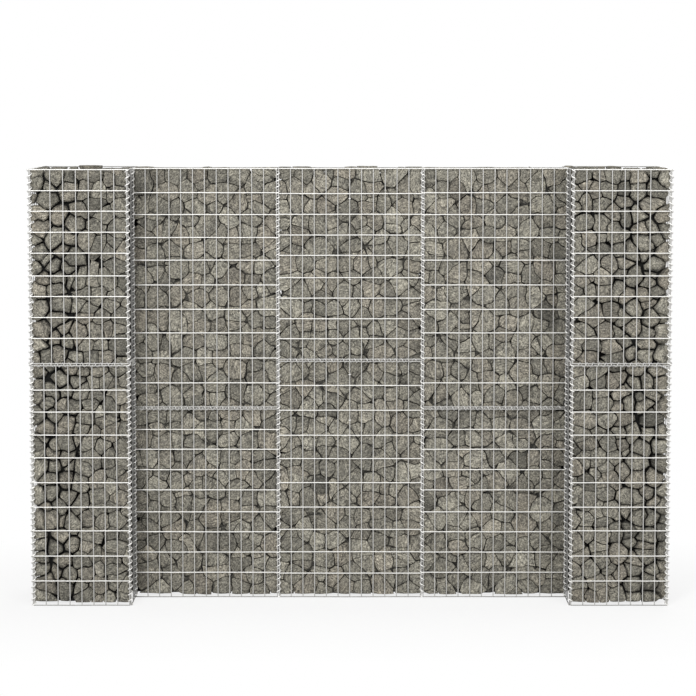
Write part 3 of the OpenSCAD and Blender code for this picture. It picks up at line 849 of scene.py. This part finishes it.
class GABION_OT_spirals(bpy.types.Operator):
    """Wind the spiral wires that lace the sides together."""
    bl_idname = "gabion.spirals"
    bl_label = "Spiral binders"

    def execute(self, context):
        material = zinc_material(context.scene.gabion_colours, "zinc_spiral", 0.40, 1.02, 0.62)
        for node, (corners, faces) in spirals(context.scene.gabion_sizes).items():
            level = node.endswith(("pillar_joint_spirals", "front_joint_spirals", "back_joint_spirals"))
            # painted shade: the level spirals are darkened, while the upright ones keep full brightness
            bright = np.full((len(corners), 4), 0.0 if level else 1.0)
            piece = new_piece(node.replace("_spirals", "_lacing"), corners, faces, {"wire": bright})
            piece.data.set_sharp_from_angle(angle=math.radians(60))
            finish_piece(piece, material, [node])
        return {"FINISHED"}


def pale_floor(colours):
    """A wide floor that takes the wall's shadow and turns to plain white away from it."""
    g = Graph("pale_floor")
    eye = g.add("ShaderNodeLightPath")
    plain = g.add("ShaderNodeBsdfPrincipled", {"Base Color": (*colours.ground, 1), "Roughness": 0.9})
    glow = g.add("ShaderNodeEmission", {"Color": (1, 1, 1, 1), "Strength": 1.0})
    # how far a place lies outside the wall's own ground
    place = g.add("ShaderNodeTexCoord").outputs["Object"]
    for operation, other in (("ABSOLUTE", (0, 0, 0)), ("SUBTRACT", (1.3, 0.2, 0)), ("MAXIMUM", (0, 0, 0))):
        place = g.add("ShaderNodeVectorMath", {0: place, 1: other}, operation=operation).outputs[0]
    away = g.add("ShaderNodeVectorMath", {0: place}, operation="LENGTH").outputs["Value"]
    seen = g.math("MULTIPLY", eye.outputs["Is Camera Ray"], g.spread(away, 0.05, 0.9, 0.80, 1.0))
    g.surface(g.add("ShaderNodeMixShader", {0: seen, 1: plain.outputs[0], 2: glow.outputs[0]}))
    mesh = bpy.data.meshes.new("floor")
    size = 60.0
    mesh.from_pydata([(-size, -size, 0), (size, -size, 0), (size, size, 0), (-size, size, 0)], [],
                     [(0, 1, 2, 3)])
    floor = bpy.data.objects.new("floor", mesh)
    bpy.context.scene.collection.objects.link(floor)
    mesh.materials.append(g.material)


def white_surround(scene):
    """A plain world: 1.0 where the camera, a reflection or clear glass sees it, and 0.42 as light."""
    world = bpy.data.worlds.new("studio")
    scene.world = world
    world.use_nodes = True
    tree = world.node_tree
    back = tree.nodes["Background"]
    back.inputs["Color"].default_value = (1, 1, 1, 1)
    rays = tree.nodes.new("ShaderNodeLightPath").outputs
    seen = rays["Is Camera Ray"]
    for kind in ("Is Glossy Ray", "Is Transmission Ray"):
        either = tree.nodes.new("ShaderNodeMath")
        either.operation = "MAXIMUM"
        tree.links.new(seen, either.inputs[0])
        tree.links.new(rays[kind], either.inputs[1])
        seen = either.outputs[0]
    level = tree.nodes.new("ShaderNodeMapRange")
    level.inputs["To Min"].default_value = 0.42
    level.inputs["To Max"].default_value = 1.0
    tree.links.new(seen, level.inputs["Value"])
    tree.links.new(level.outputs["Result"], back.inputs["Strength"])


def lamp(name, place, size, power):
    """A square lamp that points at the middle of the wall."""
    data = bpy.data.lights.new(name, "AREA")
    data.shape, data.size, data.energy = "SQUARE", size, power
    lamp_object = bpy.data.objects.new(name, data)
    lamp_object.location = place
    way = Vector((0, 0, 0.9)) - Vector(place)
    lamp_object.rotation_euler = way.to_track_quat("-Z", "Y").to_euler()
    bpy.context.scene.collection.objects.link(lamp_object)


class GABION_OT_stage(bpy.types.Operator):
    """Set the floor, the soft light and the camera."""
    bl_idname = "gabion.stage"
    bl_label = "Stage"

    def execute(self, context):
        scene = context.scene
        pale_floor(scene.gabion_colours)
        white_surround(scene)
        lamp("key", (-2.4, -6.6, 5.2), 1.8, 360)
        lamp("fill", (4.2, -6.0, 3.6), 3.0, 170)
        lamp("rear", (2.0, 6.0, 4.5), 4.0, 165)
        data = bpy.data.cameras.new("camera")
        data.lens, data.sensor_width = LENS, SENSOR
        data.shift_x, data.shift_y = SHIFT
        data.clip_end = 200
        camera = bpy.data.objects.new("camera", data)
        camera.location = EYE
        camera.rotation_euler = Euler((math.radians(90 - PITCH), 0, 0))
        scene.collection.objects.link(camera)
        scene.camera = camera
        scene.view_settings.view_transform = "Standard"
        return {"FINISHED"}


class GABION_PT_panel(bpy.types.Panel):
    """Sizes, colours and the steps that build the wall."""
    bl_label = "Gabion wall"
    bl_space_type = "VIEW_3D"
    bl_region_type = "UI"
    bl_category = "Gabion wall"

    def draw(self, context):
        layout = self.layout
        for group in (context.scene.gabion_sizes, context.scene.gabion_colours):
            column = layout.column(align=True)
            for key in group.__annotations__:
                column.prop(group, key)
        for operator in OPERATORS:
            layout.operator(operator.bl_idname)


OPERATORS = (GABION_OT_stones, GABION_OT_mesh, GABION_OT_spirals, GABION_OT_stage)
CLASSES = (GabionSizes, GabionColours, *OPERATORS, GABION_PT_panel)


def register():
    for item in CLASSES:
        bpy.utils.register_class(item)
    bpy.types.Scene.gabion_sizes = bpy.props.PointerProperty(type=GabionSizes)
    bpy.types.Scene.gabion_colours = bpy.props.PointerProperty(type=GabionColours)


def unregister():
    del bpy.types.Scene.gabion_colours
    del bpy.types.Scene.gabion_sizes
    for item in reversed(CLASSES):
        bpy.utils.unregister_class(item)


def main():
    register()
    bpy.ops.gabion.stones()
    bpy.ops.gabion.mesh()
    bpy.ops.gabion.spirals()
    bpy.ops.gabion.stage()


if __name__ == "__main__":
    main()
